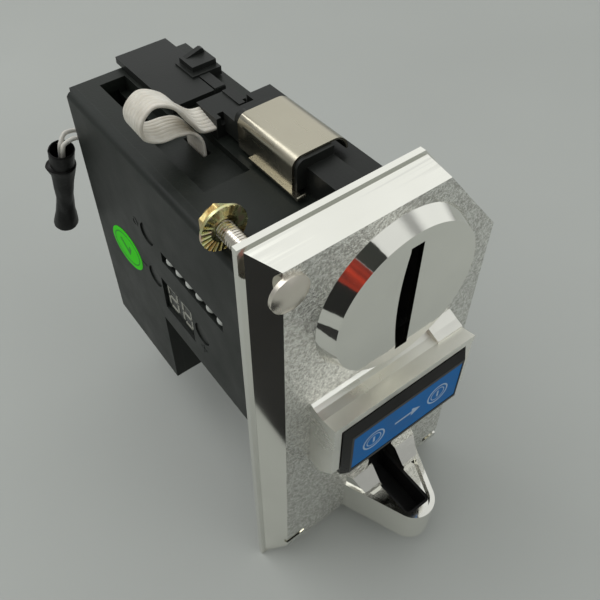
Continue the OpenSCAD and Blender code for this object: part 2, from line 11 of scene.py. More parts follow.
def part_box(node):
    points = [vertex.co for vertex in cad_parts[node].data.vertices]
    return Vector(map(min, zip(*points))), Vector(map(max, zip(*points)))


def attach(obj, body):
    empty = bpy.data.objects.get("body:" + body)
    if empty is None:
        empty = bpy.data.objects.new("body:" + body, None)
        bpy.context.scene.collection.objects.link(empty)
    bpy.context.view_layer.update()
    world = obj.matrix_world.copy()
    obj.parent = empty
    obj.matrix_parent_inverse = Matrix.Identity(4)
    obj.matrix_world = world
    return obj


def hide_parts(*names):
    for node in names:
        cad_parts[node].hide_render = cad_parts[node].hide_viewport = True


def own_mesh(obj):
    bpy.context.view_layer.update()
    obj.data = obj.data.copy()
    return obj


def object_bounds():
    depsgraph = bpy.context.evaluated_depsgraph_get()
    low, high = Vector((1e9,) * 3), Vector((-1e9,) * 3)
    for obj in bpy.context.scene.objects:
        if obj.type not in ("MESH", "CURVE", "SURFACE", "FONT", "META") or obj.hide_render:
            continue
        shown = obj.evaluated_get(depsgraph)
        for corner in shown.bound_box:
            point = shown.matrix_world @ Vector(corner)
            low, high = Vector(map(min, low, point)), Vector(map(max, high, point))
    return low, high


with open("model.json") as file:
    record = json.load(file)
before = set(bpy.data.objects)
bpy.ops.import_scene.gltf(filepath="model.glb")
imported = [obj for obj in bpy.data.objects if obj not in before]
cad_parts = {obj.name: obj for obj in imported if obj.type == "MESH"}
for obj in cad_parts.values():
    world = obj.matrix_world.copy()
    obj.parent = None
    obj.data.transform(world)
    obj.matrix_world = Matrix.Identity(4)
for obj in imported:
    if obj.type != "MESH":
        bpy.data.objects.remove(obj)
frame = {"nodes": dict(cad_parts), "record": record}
cad_low, cad_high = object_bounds()

MM = 0.001
scene = bpy.context.scene
nodes = frame["nodes"]

# The panel's front top left corner, from which part.scad measures: x right, y back, z up.
panel_low, panel_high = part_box("front_panel")
CORNER = Vector((panel_low.x, panel_low.y, panel_high.z))


def at(x, y, z):
    """A point given in millimetres from the panel's front top left corner."""
    return CORNER + Vector((x, y, z)) * MM


# ---------------------------------------------------------------- camera, floor and light

FLOOR_Z = cad_low.z
CAMERA_AT = at(-39.38, -61.75, 80.05)
CAMERA_RIGHT = Vector((0.8179, -0.5735, -0.0457))
CAMERA_DOWN = Vector((-0.4342, -0.5632, -0.7031))
LENS, SHIFT = 41.8, (0.0833, -0.1)
KEY_FROM, KEY_SIZE, KEY_WATTS = Vector((-0.2, 0.25, 0.6)), 0.4, 1.1


def add_camera():
    data = bpy.data.cameras.new("camera")
    data.lens = LENS
    data.shift_x, data.shift_y = SHIFT
    data.clip_start, data.clip_end = 0.01, 10
    camera = bpy.data.objects.new("camera", data)
    right = CAMERA_RIGHT.normalized()
    up = (-CAMERA_DOWN - right * right.dot(-CAMERA_DOWN)).normalized()
    turn = Matrix((right, up, right.cross(up))).transposed()
    camera.matrix_world = Matrix.Translation(CAMERA_AT) @ turn.to_4x4()
    scene.collection.objects.link(camera)
    scene.camera = camera


def add_key_light():
    """A soft square light, high up behind the left."""
    data = bpy.data.lights.new("key", "AREA")
    data.shape, data.size, data.size_y = "RECTANGLE", KEY_SIZE, KEY_SIZE
    data.energy = KEY_WATTS
    light = bpy.data.objects.new("key", data)
    centre = (cad_low + cad_high) / 2
    light.location = centre + KEY_FROM
    light.rotation_euler = (-KEY_FROM).to_track_quat("-Z", "Y").to_euler()
    scene.collection.objects.link(light)


# ---------------------------------------------------------------- node helpers


class Shader:
    """A material's node tree, with short names for the nodes that the finishes share."""

    def __init__(self, name):
        self.material = bpy.data.materials.new(name)
        self.material.use_nodes = True
        self.tree = self.material.node_tree
        self.tree.nodes.clear()
        self.out = self.node("ShaderNodeOutputMaterial")
        self.bsdf = self.node("ShaderNodeBsdfPrincipled")
        self.link(self.bsdf.outputs[0], self.out.inputs["Surface"])
        self.place = self.node("ShaderNodeTexCoord").outputs["Object"]

    def node(self, kind, **settings):
        made = self.tree.nodes.new(kind)
        for key, value in settings.items():
            setattr(made, key, value)
        return made

    def link(self, a, b):
        self.tree.links.new(a, b)

    def put(self, value, socket):
        """Links an output, or writes a number or colour, into a socket."""
        if isinstance(value, bpy.types.NodeSocket):
            self.link(value, socket)
        elif hasattr(value, "__len__") and len(value) == 3 and len(socket.default_value) == 4:
            socket.default_value = (*value, 1)
        else:
            socket.default_value = value

    def noise(self, scale, detail=3, roughness=0.5, stretch=None):
        made = self.node("ShaderNodeTexNoise")
        made.inputs["Scale"].default_value = scale
        made.inputs["Detail"].default_value = detail
        made.inputs["Roughness"].default_value = roughness
        source = self.place
        if stretch:
            mapping = self.node("ShaderNodeMapping")
            mapping.inputs["Scale"].default_value = stretch
            self.link(source, mapping.inputs["Vector"])
            source = mapping.outputs[0]
        self.link(source, made.inputs["Vector"])
        return made.outputs[0]

    def ramp(self, value, low, high, a=0.0, b=1.0):
        """value from low..high mapped to a..b, clamped."""
        made = self.node("ShaderNodeMapRange")
        for key, number in zip(("From Min", "From Max", "To Min", "To Max"), (low, high, a, b)):
            self.put(number, made.inputs[key])
        self.put(value, made.inputs["Value"])
        return made.outputs[0]

    def math(self, operation, a, b=0.0):
        made = self.node("ShaderNodeMath", operation=operation)
        self.put(a, made.inputs[0])
        self.put(b, made.inputs[1])
        return made.outputs[0]

    def mix(self, factor, a, b):
        made = self.node("ShaderNodeMix", data_type="RGBA")
        self.put(factor, made.inputs[0])
        self.put(a, made.inputs[6])
        self.put(b, made.inputs[7])
        return made.outputs[2]

    def axis(self, index):
        """One of the x, y, z places, in metres."""
        made = self.node("ShaderNodeSeparateXYZ")
        self.link(self.place, made.inputs[0])
        return made.outputs[index]

    def edges(self, radius):
        """1 on edges sharper than the radius, 0 on flat ground."""
        bevel = self.node("ShaderNodeBevel", samples=6)
        bevel.inputs["Radius"].default_value = radius
        plain = self.node("ShaderNodeNewGeometry").outputs["Normal"]
        dot = self.node("ShaderNodeVectorMath", operation="DOT_PRODUCT")
        self.link(bevel.outputs[0], dot.inputs[0])
        self.link(plain, dot.inputs[1])
        return self.ramp(dot.outputs["Value"], 0.99, 0.8)

    def bump(self, height, distance):
        made = self.node("ShaderNodeBump")
        made.inputs["Strength"].default_value = 1.0
        made.inputs["Distance"].default_value = distance
        self.put(height, made.inputs["Height"])
        return made.outputs[0]

    def finish(self, colour, roughness, normal, metallic=0.0, **sockets):
        """Fills the shader's sockets, further ones by their names, and gives the material."""
        self.put(colour, self.bsdf.inputs["Base Color"])
        self.put(roughness, self.bsdf.inputs["Roughness"])
        self.bsdf.inputs["Metallic"].default_value = metallic
        self.link(normal, self.bsdf.inputs["Normal"])
        for key, value in sockets.items():
            self.bsdf.inputs[key.replace("_", " ")].default_value = value
        return self.material


def plastic(name, colour, roughness=0.45, grain=1800, depth=0.02, wear=0.35, coat=0.0):
    """Moulded plastic: a fine grain, cloudy gloss and edges rubbed lighter."""
    s = Shader(name)
    cloud = s.noise(90, 4)
    speck = s.noise(grain, 2)
    light = [min(1, c * 1.3 + 0.003) for c in colour]
    dark = [c * 0.9 + 0.001 for c in colour]
    rubbed = [min(1, c * 1.8 + 0.05) for c in colour]
    base = s.mix(s.ramp(cloud, 0.35, 0.65), dark, light)
    worn = s.math("MULTIPLY", s.edges(0.35 * MM), s.ramp(s.noise(400, 3), 0.35, 0.7, 0.1, wear))
    base = s.mix(worn, base, rubbed)
    rough = s.ramp(cloud, 0.3, 0.7, roughness - 0.07, roughness + 0.08)
    return s.finish(base, rough, s.bump(speck, depth * MM), Coat_Weight=coat, Coat_Roughness=0.15,
                    Specular_IOR_Level=0.22)


def plating(name, colour, roughness=0.06, ripple=0.02, scratches=0.3):
    """Bright plating: slight orange peel, faint scratches and a warm tint in places."""
    s = Shader(name)
    cloud = s.noise(60, 3)
    peel = s.noise(350, 2)
    fine = s.noise(900, 4, stretch=(1, 0.08, 1))
    base = s.mix(s.ramp(cloud, 0.35, 0.65), [c * 0.94 for c in colour], colour)
    mark = s.ramp(fine, 0.62, 0.7, 0, scratches)
    rough = s.math("ADD", s.ramp(cloud, 0.3, 0.7, roughness * 0.6, roughness * 1.6),
                   s.math("MULTIPLY", mark, 0.12))
    return s.finish(base, rough, s.bump(peel, ripple * MM), metallic=1.0)


# ---------------------------------------------------------------- finishes

GRAIN_ENDS = (0.5 * MM, 1.0 * MM)   # how far behind the panel's front the cast grain fades


def panel_finish():
    """Chrome over a cast grain on the flat front, its low spots painted darker as shade in the
    pits, with drawn lines on the walls that face up.
    """
    s = Shader("panel_chrome")
    normal = s.node("ShaderNodeNewGeometry").outputs["True Normal"]
    parts = s.node("ShaderNodeSeparateXYZ")
    s.link(normal, parts.inputs[0])
    flat = s.math("MULTIPLY", s.ramp(parts.outputs[1], -0.97, -0.985),
                  s.ramp(s.axis(1), panel_low.y + GRAIN_ENDS[1], panel_low.y + GRAIN_ENDS[0]))
    coarse = s.noise(1400, 3, 0.7)
    fine = s.noise(2600, 2, 0.6)
    grain = s.math("ADD", s.math("MULTIPLY", coarse, 0.75), s.math("MULTIPLY", fine, 0.35))
    # painted shade: where the grain is low the face is painted darker, standing for shadow in its
    # pits
    pit_shade = s.math("MULTIPLY", s.ramp(grain, 0.46, 0.61), flat)
    drawn = s.math("MULTIPLY", s.noise(420, 2, stretch=(0.03, 1, 1)),
                   s.ramp(parts.outputs[2], 0.35, 0.6))
    height = s.math("ADD", s.math("MULTIPLY", grain, flat), s.math("MULTIPLY", drawn, 0.35))
    cloud = s.noise(45, 3)
    smooth = s.mix(s.ramp(cloud, 0.3, 0.7), (0.80, 0.79, 0.73), (0.88, 0.87, 0.81))
    # the grain's speckle, with painted shade darkening its pits
    grain_with_pit_shade = s.mix(pit_shade, (0.56, 0.55, 0.51), (1.0, 1.0, 0.95))
    base = s.mix(flat, smooth, grain_with_pit_shade)
    rough = s.math("ADD", s.ramp(cloud, 0.3, 0.7, 0.05, 0.1), s.math("MULTIPLY", flat, 0.14))
    return s.finish(base, rough, s.bump(height, 0.6 * MM), metallic=1.0)


def nut_finish():
    """Yellow zinc, with the shades of gold, green and pink that passivating leaves."""
    s = Shader("yellow_zinc")
    cloud = s.noise(260, 2)
    tint = s.node("ShaderNodeValToRGB")
    steps = [(0.3, (0.42, 0.28, 0.10, 1)), (0.45, (0.72, 0.58, 0.26, 1)),
             (0.56, (0.62, 0.66, 0.36, 1)), (0.68, (0.74, 0.5, 0.42, 1))]
    while len(tint.color_ramp.elements) < len(steps):
        tint.color_ramp.elements.new(0.5)
    for element, (place, colour) in zip(tint.color_ramp.elements, steps):
        element.position, element.color = place, colour
    s.link(cloud, tint.inputs[0])
    return s.finish(tint.outputs[0], s.ramp(cloud, 0.3, 0.7, 0.16, 0.34),
                    s.bump(s.noise(1600, 2), 0.015 * MM), metallic=1.0)


def brushed(name, colour, roughness=0.24, direction=(1, 0.05, 1)):
    """Bare metal with fine lines along one direction."""
    s = Shader(name)
    line = s.noise(1500, 3, stretch=direction)
    cloud = s.noise(120, 3)
    base = s.mix(s.ramp(cloud, 0.3, 0.7), [c * 0.85 for c in colour], colour)
    base = s.mix(s.ramp(line, 0.45, 0.75, 0, 0.35), base, [c * 0.6 for c in colour])
    rough = s.ramp(line, 0.3, 0.7, roughness - 0.06, roughness + 0.08)
    return s.finish(base, rough, s.bump(line, 0.006 * MM), metallic=1.0)


def vinyl(name, colour, shade, roughness=0.42):
    """Soft cable jacket, a little dirty in random clouds."""
    s = Shader(name)
    cloud = s.noise(180, 4)
    base = s.mix(s.ramp(cloud, 0.35, 0.7), shade, colour)
    return s.finish(base, s.ramp(cloud, 0.3, 0.7, roughness - 0.06, roughness + 0.1),
                    s.bump(s.noise(1200, 2), 0.02 * MM), Subsurface_Weight=0.08,
                    Subsurface_Radius=(0.001, 0.0008, 0.0006))


def film(name, colour, roughness=0.22):
    """Printed plastic film."""
    s = Shader(name)
    cloud = s.noise(140, 3)
    base = s.mix(s.ramp(cloud, 0.35, 0.65), [c * 0.86 for c in colour], colour)
    return s.finish(base, s.ramp(cloud, 0.3, 0.7, roughness - 0.04, roughness + 0.08),
                    s.bump(s.noise(500, 2), 0.01 * MM), Specular_IOR_Level=0.12)


FINISH = {
    "chrome_textured": panel_finish(),
    "chrome_polished": plating("polished_chrome", (0.90, 0.89, 0.83)),
    "chrome_satin": plating("satin_chrome", (0.92, 0.91, 0.85), 0.34, 0.02),
    "bolt_steel": plating("bolt_nickel", (0.76, 0.71, 0.63), 0.2, 0.03, 0.6),
    "yellow_zinc": nut_finish(),
    "button_black": plastic("button_black", (0.012, 0.012, 0.011), 0.34, 2200, 0.012, 0.4),
    "label_blue": film("label_blue", (0.003, 0.15, 0.46), 0.45),
    "spring_steel": brushed("spring_steel", (0.6, 0.6, 0.6)),
    "cam_white": plastic("cam_white", (0.7, 0.7, 0.66), 0.4),
    "liner_black": plastic("liner_black", (0.008, 0.008, 0.008), 0.5),
    "body_black": plastic("body_black", (0.0105, 0.0130, 0.0105), 0.40, 1500, 0.03, 0.3),
    "cover_black": plastic("cover_black", (0.013, 0.0155, 0.0135), 0.46, 1500, 0.03, 0.3),
    "display_black": plastic("display_black", (0.016, 0.018, 0.016), 0.3, 2500, 0.005),
    "segment_white": plastic("segment_white", (0.3, 0.3, 0.26), 0.4, 2500, 0.005),
    "lamp_white": plastic("lamp_white", (0.5, 0.51, 0.48), 0.22, 2500, 0.004, coat=0.5),
    "key_black": plastic("key_black", (0.014, 0.016, 0.014), 0.4),
    "switch_black": plastic("switch_black", (0.02, 0.02, 0.02), 0.4),
    "board_green": plastic("board_green", (0.01, 0.11, 0.045), 0.3, 2500, 0.004, coat=0.3),
    "chip_black": plastic("chip_black", (0.02, 0.02, 0.022), 0.45),
    "rail_steel": brushed("rail_steel", (0.6, 0.6, 0.6)),
    "coil_copper": brushed("coil_copper", (0.6, 0.27, 0.12), 0.3, (1, 12, 1)),
    "sensor_black": plastic("sensor_black", (0.02, 0.02, 0.03), 0.15, coat=0.6),
    "frame_steel": brushed("frame_steel", (0.62, 0.62, 0.62)),
    "pin_steel": brushed("pin_steel", (0.68, 0.69, 0.7)),
    "gate_black": plastic("gate_black", (0.01, 0.0112, 0.01), 0.36, 1700, 0.02, 0.35),
    "clip_nickel": plating("clip_nickel", (0.46, 0.43, 0.345), 0.2, 0.03, 0.9),
    "ribbon_white": vinyl("ribbon_white", (0.80, 0.77, 0.70), (0.62, 0.58, 0.50)),
    "socket_white": plastic("socket_white", (0.72, 0.70, 0.62), 0.4),
    "lead_white": vinyl("lead_white", (0.78, 0.76, 0.70), (0.55, 0.53, 0.48)),
    "sleeve_black": plastic("sleeve_black", (0.003, 0.003, 0.003), 0.42, 900, 0.05, 0.15),
    "funnel_black": plastic("funnel_black", (0.014, 0.014, 0.014), 0.42),
    "screw_zinc": brushed("screw_zinc", (0.66, 0.66, 0.62)),
    "sticker_green": film("sticker_green", (0.05, 0.8, 0.004), 0.5),
    "label_print": film("label_print", (0.42, 0.55, 0.72), 0.4),
    "sticker_print": film("sticker_print", (0.01, 0.3, 0.006), 0.35),
}
# The material slot of each CAD node, as the record has it, and the nodes that are duller than
# others with the same slot.
SLOT_OF = {entry["node"]: entry["material_slot"] for entry in frame["record"]["subparts"]}
DULLER = {"button_hood": "chrome_satin"}

# Radius, in mm, that a node's sharp edges are rounded to.
EDGES = {"front_panel": 0.35, "coin_entry_boss": 0.5, "button_hood": 0.45, "return_cup": 0.6,
         "reject_button": 0.35, "main_body": 0.5, "side_cover": 0.3, "sample_latch": 0.3,
         "cable_block": 0.35, "swing_gate": 0.4, "pivot_block": 0.3, "spring_clip": 0.12}


def smooth_by_angle(o, degrees):
    """Shades an object smooth, except over edges sharper than the angle."""
    with bpy.context.temp_override(object=o, active_object=o, selected_objects=[o],
                                   selected_editable_objects=[o]):
        bpy.ops.object.shade_smooth()
    split = o.modifiers.new("split", "EDGE_SPLIT")
    split.split_angle = math.radians(degrees)
    split.use_edge_sharp = False


def dress_cad_nodes():
    """Gives each CAD node its finish, and rounds its sharp edges."""
    for name, o in nodes.items():
        o.data.materials.clear()
        o.data.materials.append(FINISH[DULLER.get(name, SLOT_OF[name])])
        flat = o.modifiers.new("flat", "DECIMATE")
        flat.decimate_type = "DISSOLVE"
        flat.angle_limit = math.radians(1.0)
        if name in EDGES:
            bevel = o.modifiers.new("bevel", "BEVEL")
            bevel.width = EDGES[name] * MM
            bevel.segments = 3
            bevel.limit_method = "ANGLE"
            bevel.angle_limit = math.radians(28)
            bevel.use_clamp_overlap = True
            bevel.miter_outer = "MITER_ARC"
        smooth_by_angle(o, 32)


# ---------------------------------------------------------------- shapes that the CAD stands in for


def new_piece(name, mesh, finish, body="housing", smooth=True):
    """An object from a bmesh or a mesh, with its finish, riding on a body."""
    if isinstance(mesh, bmesh.types.BMesh):
        made = bpy.data.meshes.new(name)
        bmesh.ops.recalc_face_normals(mesh, faces=mesh.faces)
        mesh.to_mesh(made)
        mesh.free()
        mesh = made
    mesh.materials.append(FINISH[finish])
    if smooth:
        for face in mesh.polygons:
            face.use_smooth = True
    piece = bpy.data.objects.new(name, mesh)
    scene.collection.objects.link(piece)
    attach(piece, body)
    return piece


def blend_along(points, per):
    """A smooth row of values through the given ones (Catmull-Rom), with per steps to each."""
    rows = [Vector(p) for p in points]
    made = []
    for i in range(len(rows) - 1):
        a, b = rows[max(i - 1, 0)], rows[i]
        c, d = rows[i + 1], rows[min(i + 2, len(rows) - 1)]
        for j in range(per):
            t = j / per
            made.append(0.5 * (2 * b + t * (c - a) + t * t * (2 * a - 5 * b + 4 * c - d)
                               + t ** 3 * (3 * b - a - 3 * c + d)))
    made.append(rows[-1])
    return made


def skin(mesh, rings, closed=False, caps=True):
    """Joins rows of points into a surface round them; closed joins the last row to the first."""
    rows = [[mesh.verts.new(p) for p in ring] for ring in rings]
    pairs = list(zip(rows, rows[1:]))
    if closed:
        pairs.append((rows[-1], rows[0]))
    for low, high in pairs:
        n = len(low)
        for k in range(n):
            mesh.faces.new((low[k], low[(k + 1) % n], high[(k + 1) % n], high[k]))
    if caps and not closed:
        mesh.faces.new(list(reversed(rows[0])))
        mesh.faces.new(rows[-1])


def lathe(name, finish, profile, place, shaped, steps, degrees):
    """A turned form along +Y from (distance, radius) pairs that shaped may change at each angle."""
    mesh = bmesh.new()
    rings = []
    for index, (y, r) in enumerate(profile):
        ring = []
        for k in range(steps):
            angle = 2 * math.pi * k / steps
            dy, rr = shaped(index, angle, y, r)
            ring.append(place + Vector((rr * math.cos(angle), dy, rr * math.sin(angle))) * MM)
        rings.append(ring)
    skin(mesh, rings, closed=True)
    piece = new_piece(name, mesh, finish)
    smooth_by_angle(piece, degrees)
    return piece


# Centre line of the ribbon, from the cable block round its loop into its slot: x, z, the
# middle of its width in y, and how far it is rolled, in degrees.
RIBBON = [(25.8, -12.4, 53.4, -14), (21, -11.2, 52.8, -14), (17.2, -6.8, 51.4, -5),
          (13.6, -1.6, 50.6, 0), (9, 0.9, 50.3, 0), (5.6, -1.6, 50.3, 0), (5.9, -5.6, 50.6, 2),
          (9.6, -8, 51, 5), (14, -8.9, 51.6, 4), (17.6, -10.6, 52.3, 2), (20, -14, 52.5, 0),
          (20.5, -19.4, 52.6, 0)]
RIBBON_WIDTH, RIBBON_THICK, RIBBON_CORES = 7.6, 0.9, 7
RIBBON_EDGE, RIBBON_WEB = 0.1, 0.62   # half thickness at its edges, and its share between cores


def add_ribbon():
    """Flat cable of round cores side by side."""
    rows = blend_along(RIBBON, 10)
    mesh = bmesh.new()
    rings = []
    across = RIBBON_CORES * 8
    for i, row in enumerate(rows):
        a, b = rows[max(i - 1, 0)], rows[min(i + 1, len(rows) - 1)]
        run = Vector((b[0] - a[0], b[2] - a[2], b[1] - a[1])).normalized()
        side = Vector((0, 1, 0))
        side = (side - run * side.dot(run)).normalized()
        side = Matrix.Rotation(math.radians(row[3]), 3, run) @ side
        up = run.cross(side)
        top, low = [], []
        for k in range(across + 1):
            u = k / across
            core = abs(math.sin(math.pi * u * RIBBON_CORES))
            half = RIBBON_THICK / 2 * (RIBBON_WEB + (1 - RIBBON_WEB) * core ** 0.6)
            if k in (0, across):
                half = RIBBON_EDGE
            spot = at(row[0], row[2], row[1]) + side * (u - 0.5) * RIBBON_WIDTH * MM
            top.append(spot + up * half * MM)
            low.append(spot - up * half * MM)
        rings.append(top + list(reversed(low)))
    skin(mesh, rings)
    piece = new_piece("ribbon", mesh, "ribbon_white")
    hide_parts("ribbon_cable")


# The leads' centre line up to the sleeve as part.scad has it, and the sleeve's top and lean.
LEAD_START = [(11.6, 90.7, -36.6), (11.3, 92.4, -36.1), (10, 94.6, -35), (7.8, 95.3, -33.6),
              (5.4, 95, -32.4), (3.2, 94.6, -32.2), (1.6, 94.3, -33.1)]
LEAD_D = 1.3
LEAD_STEPS = (0, 7, 14, 21, 28, 34)   # how far down the sleeve the leads' points are
SLEEVE_TOP, SLEEVE_LEAN = (0.9, 94.2, -34.6), (17, 4)
SLEEVE_TURN = (Matrix.Rotation(math.radians(SLEEVE_LEAN[1]), 3, "Y")
               @ Matrix.Rotation(math.radians(SLEEVE_LEAN[0]), 3, "X"))


def along_sleeve(distance, out=(0.0, 0.0)):
    """A place that far below the sleeve's top and out to the side of its axis, in mm."""
    return Vector(SLEEVE_TOP) + SLEEVE_TURN @ Vector((out[0], out[1], -distance))


def add_leads(sleeve, plug):
    """Two thin white wires side by side, out of the socket, over and down the sleeve."""
    for name, shift, apart in (("lead_a", (-0.1, 0.62, 0.2), (0.3, 0.7)),
                               ("lead_b", (0.1, -0.6, -0.2), (-0.18, -0.42))):
        points = [Vector(p) for p in LEAD_START] + [along_sleeve(d) for d in LEAD_STEPS]
        points = [Vector(p) + Vector(shift) for p in points]
        # the two part a little where they turn over
        for i in (3, 4, 5):
            points[i].y += apart[0]
            points[i].z += apart[1]
        path = [at(*p) for p in blend_along(points, 4)]
        curve = bpy.data.curves.new(name, "CURVE")
        curve.dimensions = "3D"
        spline = curve.splines.new("POLY")
        spline.points.add(len(path) - 1)
        for point, place in zip(spline.points, path):
            point.co = (*place, 1)
        curve.bevel_depth = LEAD_D / 2 * MM
        curve.bevel_resolution = 6
        curve.use_fill_caps = True
        curve.materials.append(FINISH["lead_white"])
        lead = bpy.data.objects.new(name, curve)
        scene.collection.objects.link(lead)
        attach(lead, "housing")
        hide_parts("lead_wires")


# Distance below the sleeve's top, and its radius there. The collar ends at COLLAR_END.
SLEEVE = [(0, 3.5), (0.25, 3.65), (3, 3.6), (6, 3.5), (6.2, 3.6), (6.5, 3.9), (7.4, 3.85),
          (10, 3.5), (14, 3.1), (18, 2.85), (22, 2.7), (26, 2.75), (29, 3.05), (32, 3.5),
          (34.6, 3.8), (35.3, 3.78)]
COLLAR_END, WAIST = 6.1, 23


def add_sleeve():
    """Black sleeve, creased and pinched at its waist, with a folded collar at its top."""
    mesh = bmesh.new()
    rings = []
    steps = 72
    for row in blend_along([(a, b, 0) for a, b in SLEEVE], 4):
        ring = []
        for k in range(steps):
            angle = 2 * math.pi * k / steps
            left = max(0.0, math.cos(angle - math.pi * 0.9))
            flap = 0.9 * left ** 4 * max(0.0, 1 - abs(row[0] - COLLAR_END - 0.6) / 3.2)
            if row[0] <= COLLAR_END:
                flap = 0
            round_at = Vector((math.cos(angle), math.sin(angle), 0))
            crease = noise.noise(round_at * 1.6 + Vector((0, 0, row[0] * 0.16)))
            fine = noise.noise(round_at * 5 + Vector((0, 0, row[0] * 0.5)))
            waist = max(0.0, 1 - abs(row[0] - WAIST) / 11)
            r = row[1] + flap + 0.3 * crease * (0.4 + waist) + 0.06 * fine
            ring.append(at(*along_sleeve(row[0], (r * math.cos(angle), 0.9 * r * math.sin(angle)))))
        rings.append(ring)
    skin(mesh, rings, caps=False)
    piece = new_piece("sleeve", mesh, "sleeve_black")
    thick = piece.modifiers.new("thick", "SOLIDIFY")
    thick.thickness, thick.offset = 0.4 * MM, -1
    smooth_by_angle(piece, 40)
    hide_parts("lead_sleeve")
    return piece


# The plug's size, how far down the sleeve it and its pins are, and how far out from the axis.
PLUG_SIZE, PLUG_DOWN, PIN_DOWN, PLUG_OUT = (3.0, 2.2, 5.0), 34.4, 37.1, (1.0, 0.2)


def add_plug():
    """The small plug on the leads' end, just showing below the sleeve, and its two pins."""
    mesh = bmesh.new()
    made = bmesh.ops.create_cube(mesh, size=1)
    turn = SLEEVE_TURN.to_4x4()
    place = Matrix.Translation(at(*along_sleeve(PLUG_DOWN, PLUG_OUT))) @ turn
    size = Matrix.Diagonal((*(v * MM for v in PLUG_SIZE), 1))
    bmesh.ops.transform(mesh, matrix=place @ size, verts=made["verts"])
    bmesh.ops.bevel(mesh, geom=list(mesh.edges), offset=0.35 * MM, segments=3, affect="EDGES")
    for side in (-0.75, 0.75):
        pin = bmesh.ops.create_cone(mesh, cap_ends=True, segments=24, radius1=0.45 * MM,
                                    radius2=0.36 * MM, depth=0.8 * MM)
        out = (PLUG_OUT[0] + side, PLUG_OUT[1])
        spot = Matrix.Translation(at(*along_sleeve(PIN_DOWN, out))) @ turn
        bmesh.ops.transform(mesh, matrix=spot, verts=pin["verts"])
    plug = new_piece("lead_plug", mesh, "socket_white")
    smooth_by_angle(plug, 40)
    return plug


# The bolt and its nut, measured off the CAD.
bolt_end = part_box("mounting_bolt")[1].y
nut_low, nut_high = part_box("flange_nut")
NUT_AXIS = Vector(((nut_low.x + nut_high.x) / 2, 0, (nut_low.z + nut_high.z) / 2))
NUT_R = (nut_high.x - nut_low.x) / 2 / MM
NUT_LONG = (nut_high.y - nut_low.y) / MM
BOLT_R, THREAD_PITCH, THREAD_STEPS = 1.9, 0.7, 36
TOOTH_COUNT, TOOTH_HIGH = 24, 0.42
HEX_CORNER, HEX_FLAT = 4.0, 3.5


def add_nut():
    """Flange nut with teeth on the face towards the panel, its hexagon behind."""
    profile = [(0.35, BOLT_R + 0.02), (0.12, 2.7), (0.1, 3.0), (0, 3.15), (0, NUT_R - 0.12),
               (0.2, NUT_R), (0.85, NUT_R), (1.05, NUT_R - 0.15), (1.5, HEX_CORNER + 0.2),
               (1.6, HEX_CORNER), (NUT_LONG - 0.5, HEX_CORNER), (NUT_LONG, HEX_CORNER - 0.75),
               (NUT_LONG, 2.3), (NUT_LONG - 0.35, BOLT_R + 0.02)]

    def shaped(index, angle, y, r):
        if index in (3, 4):
            turn = (angle * TOOTH_COUNT / (2 * math.pi)) % 1
            y = 0.02 + TOOTH_HIGH * (turn if index == 4 else turn * 0.5)
        if index in (9, 10):
            face = (angle + math.pi / 6) % (math.pi / 3) - math.pi / 6
            r = min(r, HEX_FLAT / math.cos(face))
        return y, r

    place = Vector((NUT_AXIS.x, nut_low.y, NUT_AXIS.z))
    piece = lathe("flange_nut_toothed", "yellow_zinc", profile, place, shaped,
                  steps=240, degrees=24)
    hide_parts("flange_nut")


def add_thread():
    """The bolt's thread: one ridge wound round the shank, from the panel to the bolt's end."""
    start, end = panel_high.y + 0.5 * MM, bolt_end - 0.15 * MM
    turns = (end - start) / (THREAD_PITCH * MM)
    mesh = bmesh.new()
    rings = []
    for i in range(int(turns * THREAD_STEPS) + 1):
        angle = 2 * math.pi * i / THREAD_STEPS
        y = start + THREAD_PITCH * MM * i / THREAD_STEPS
        out = Vector((math.cos(angle), 0, math.sin(angle)))
        axis = Vector((NUT_AXIS.x, y, NUT_AXIS.z))
        crest = BOLT_R + 0.1
        ring = [axis + out * (r * MM) + Vector((0, dy * MM, 0))
                for r, dy in ((BOLT_R - 0.3, -0.33), (crest, -0.05), (crest, 0.05),
                              (BOLT_R - 0.3, 0.33))]
        rings.append(ring)
    skin(mesh, rings)
    piece = new_piece("bolt_thread", mesh, "bolt_steel")
    smooth_by_angle(piece, 50)


def add_springs():
    """Wire coil springs round the push frame's two stems."""
    low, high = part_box("button_springs")
    middle_z = (low.z + high.z) / 2
    wire, turns, steps, sides = 0.25, 5, 40, 10
    radius = (high.z - low.z) / 2 / MM - wire
    for name, x in (("spring_left", low.x + (radius + wire) * MM),
                    ("spring_right", high.x - (radius + wire) * MM)):
        mesh = bmesh.new()
        rings = []
        for i in range(turns * steps + 1):
            angle = 2 * math.pi * i / steps
            y = high.y - wire * MM - (high.y - low.y - 2 * wire * MM) * i / (turns * steps)
            out = Vector((math.cos(angle), 0, math.sin(angle)))
            middle = Vector((x, y, middle_z)) + out * radius * MM
            rings.append([middle + (out * math.cos(t) + Vector((0, 1, 0)) * math.sin(t)) * wire * MM
                          for t in (2 * math.pi * k / sides for k in range(sides))])
        skin(mesh, rings)
        piece = new_piece(name, mesh, "spring_steel")
        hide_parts("button_springs")
        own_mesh(piece)


# ---------------------------------------------------------------- small printed and moulded marks


def flat_ring(mesh, middle, u, v, outer, inner, lift, steps=48):
    """A flat ring with a thin edge."""
    rows = []
    for radius, up in ((outer, 0), (outer, 1), (inner, 1), (inner, 0)):
        rows.append([middle + lift * up + (u * math.cos(2 * math.pi * k / steps)
                                           + v * math.sin(2 * math.pi * k / steps)) * radius * MM
                     for k in range(steps)])
    skin(mesh, rows, closed=True)


def flat_shape(mesh, middle, u, v, outline, lift):
    """A flat outline given in mm along u and v, with a thin edge."""
    low = [mesh.verts.new(middle + (u * a + v * b) * MM) for a, b in outline]
    high = [mesh.verts.new(w.co + lift) for w in low]
    mesh.faces.new(low)
    mesh.faces.new(list(reversed(high)))
    for k in range(len(low)):
        n = (k + 1) % len(low)
        mesh.faces.new((low[k], high[k], high[n], low[n]))


